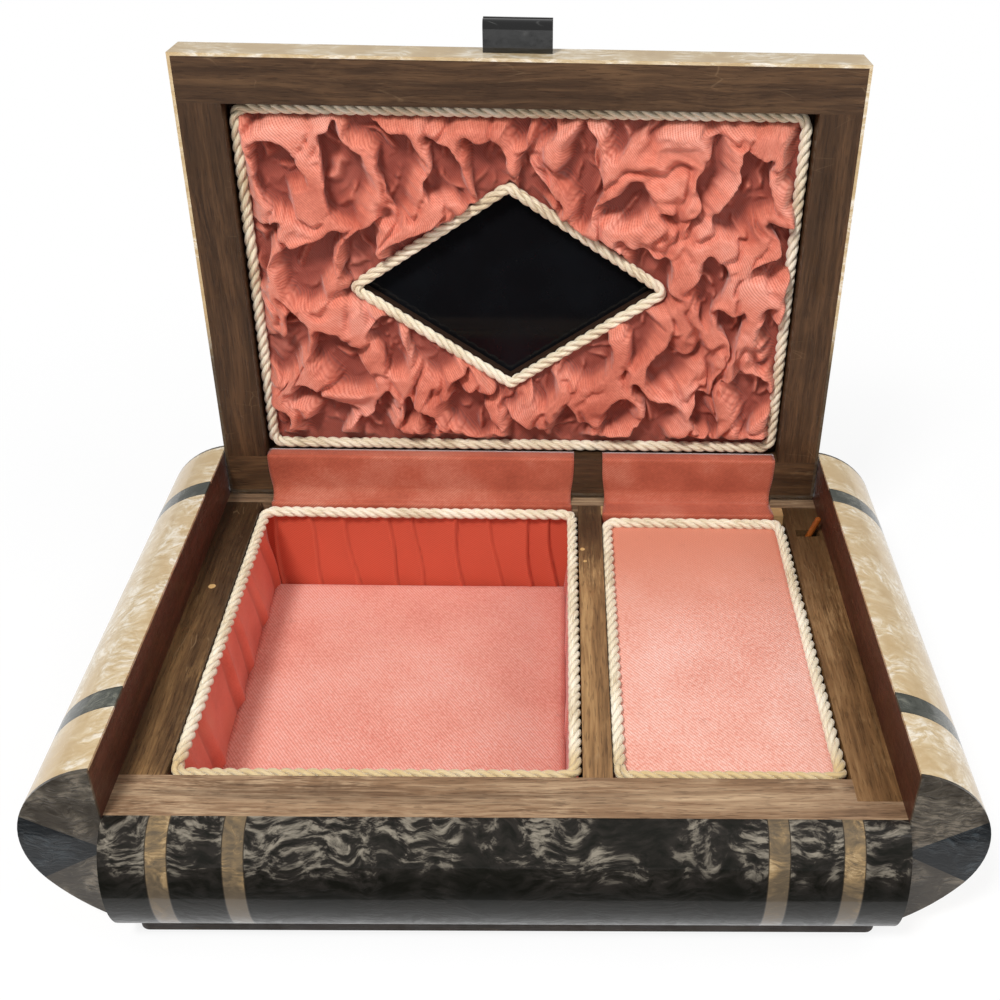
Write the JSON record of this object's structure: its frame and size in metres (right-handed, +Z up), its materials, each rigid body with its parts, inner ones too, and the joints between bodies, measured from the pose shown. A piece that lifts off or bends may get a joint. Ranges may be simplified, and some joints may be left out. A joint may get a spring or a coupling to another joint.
{
  "type": "musical jewelry box",
  "caption": "Musical jewelry box with rounded pearl-faced wings and front roll, a satin-lined compartment, a padded movement cover and a mirrored hinged lid.",
  "frame": {"origin": "centre of the base board's underside, on the surface the box stands on", "axes": "+X to the right along the front, +Y from front to back, +Z up"},
  "size_m": [0.261, 0.1886, 0.2098],
  "materials": {
    "walnut": "dark walnut, worn varnish",
    "dark_base_wood": "dark stained board",
    "core_wood": "plain softwood",
    "pearl_celluloid": "cream and tan pearl, polished",
    "dark_pearl_celluloid": "near-black pearl, polished",
    "tan_pearl_celluloid": "tan pearl, polished",
    "black_celluloid": "polished black",
    "coral_satin": "satin",
    "pink_satin": "satin over padding",
    "ivory_rope": "twisted rayon",
    "mirror_glass": "silvered glass, dark where it faces a dark room",
    "card": "grey-brown card",
    "steel": "bright steel",
    "brass": "turned brass",
    "cast_plate": "cast and painted grey",
    "amber_peg": "varnished dowel"
  },
  "bodies": {
    "case": {"base_board": "dark_base_wood", "base_screws": "steel", "front_wall": "walnut", "back_wall": "walnut", "left_wall": "walnut", "right_wall": "walnut", "divider": "walnut", "back_sheet": "pearl_celluloid", "left_wing_core": "core_wood", "right_wing_core": "core_wood", "left_wing_sheets": "pearl_celluloid", "right_wing_sheets": "pearl_celluloid", "wing_bands": "dark_pearl_celluloid", "wing_cap_dark_wedges": "dark_pearl_celluloid", "wing_cap_pale_wedges": "tan_pearl_celluloid", "roll_core": "core_wood", "roll_sheets": "dark_pearl_celluloid", "roll_bands": "tan_pearl_celluloid", "wall_lining": "coral_satin", "floor_pad": "pink_satin", "cover_battens": "walnut", "cover_board": "core_wood", "cover_pad": "pink_satin", "case_cords": "ivory_rope", "hinge_case_leaves": "steel", "hinge_pins": "steel", "hinge_case_nails": "steel", "movement_board": "core_wood", "bedplate": "cast_plate", "bedplate_screws": "steel", "tone_comb": "steel", "comb_screws": "steel", "cylinder_bridge": "steel", "governor_frame": "brass"},
    "lid": {"hinge_lid_leaves": "steel", "hinge_lid_nails": "steel", "hinge_ribbons": "coral_satin", "lid_front_rail": "walnut", "lid_back_rail": "walnut", "lid_stiles": "walnut", "lid_board": "core_wood", "lid_sheet": "pearl_celluloid", "lid_handle": "black_celluloid", "lid_mat": "card", "mirror": "mirror_glass", "mirror_cord": "ivory_rope", "lid_cord": "ivory_rope", "ruched_satin": "coral_satin"},
    "spring_barrel": {"spring_barrel": "brass"},
    "winder": {"winding_arbor": "steel", "winding_key": "brass"},
    "cylinder": {"pinned_cylinder": "brass", "cylinder_shaft": "steel"},
    "governor": {"governor_wheel": "brass"},
    "air_brake": {"air_brake": "steel"},
    "stopper": {"stop_peg": "amber_peg", "stop_wire": "steel"}
  },
  "joints": [
    {"name": "lid_hinge", "type": "hinge", "parent": "case", "child": "lid", "pos_m": [0, 0.0764, 0.0447], "axis": [1, 0, 0], "range_deg": [0, 91.87], "deforming": ["hinge_ribbons"]},
    {"name": "stop_peg_slide", "type": "slide", "parent": "case", "child": "stopper", "axis": [-0.342, 0, -0.9397], "range_m": [0, 0.0071]},
    {"name": "key_turn", "type": "hinge", "parent": "case", "child": "winder", "pos_m": [0.064, 0.016, 0.006], "axis": [0, 0, 1], "continuous": true},
    {"name": "barrel_spin", "type": "hinge", "parent": "case", "child": "spring_barrel", "pos_m": [0.064, 0.016, 0.02], "axis": [0, 0, 1], "continuous": true},
    {"name": "cylinder_spin", "type": "hinge", "parent": "case", "child": "cylinder", "pos_m": [0.064, 0.038, 0.028], "axis": [0, 1, 0], "continuous": true},
    {"name": "governor_spin", "type": "hinge", "parent": "case", "child": "governor", "pos_m": [0.07326, 0.053, 0.028], "axis": [0, 1, 0], "continuous": true},
    {"name": "air_brake_spin", "type": "hinge", "parent": "case", "child": "air_brake", "pos_m": [0.07932, 0.05375, 0.02], "axis": [0, 0, 1], "continuous": true}
  ],
  "couplings": [
    {"joint": "stop_peg_slide", "follows": "lid_hinge", "m_per_rad": 0.00442},
    {"joint": "cylinder_spin", "follows": "barrel_spin", "ratio": 3},
    {"joint": "governor_spin", "follows": "barrel_spin", "ratio": -10.8},
    {"joint": "air_brake_spin", "follows": "barrel_spin", "ratio": -259.2}
  ]
}
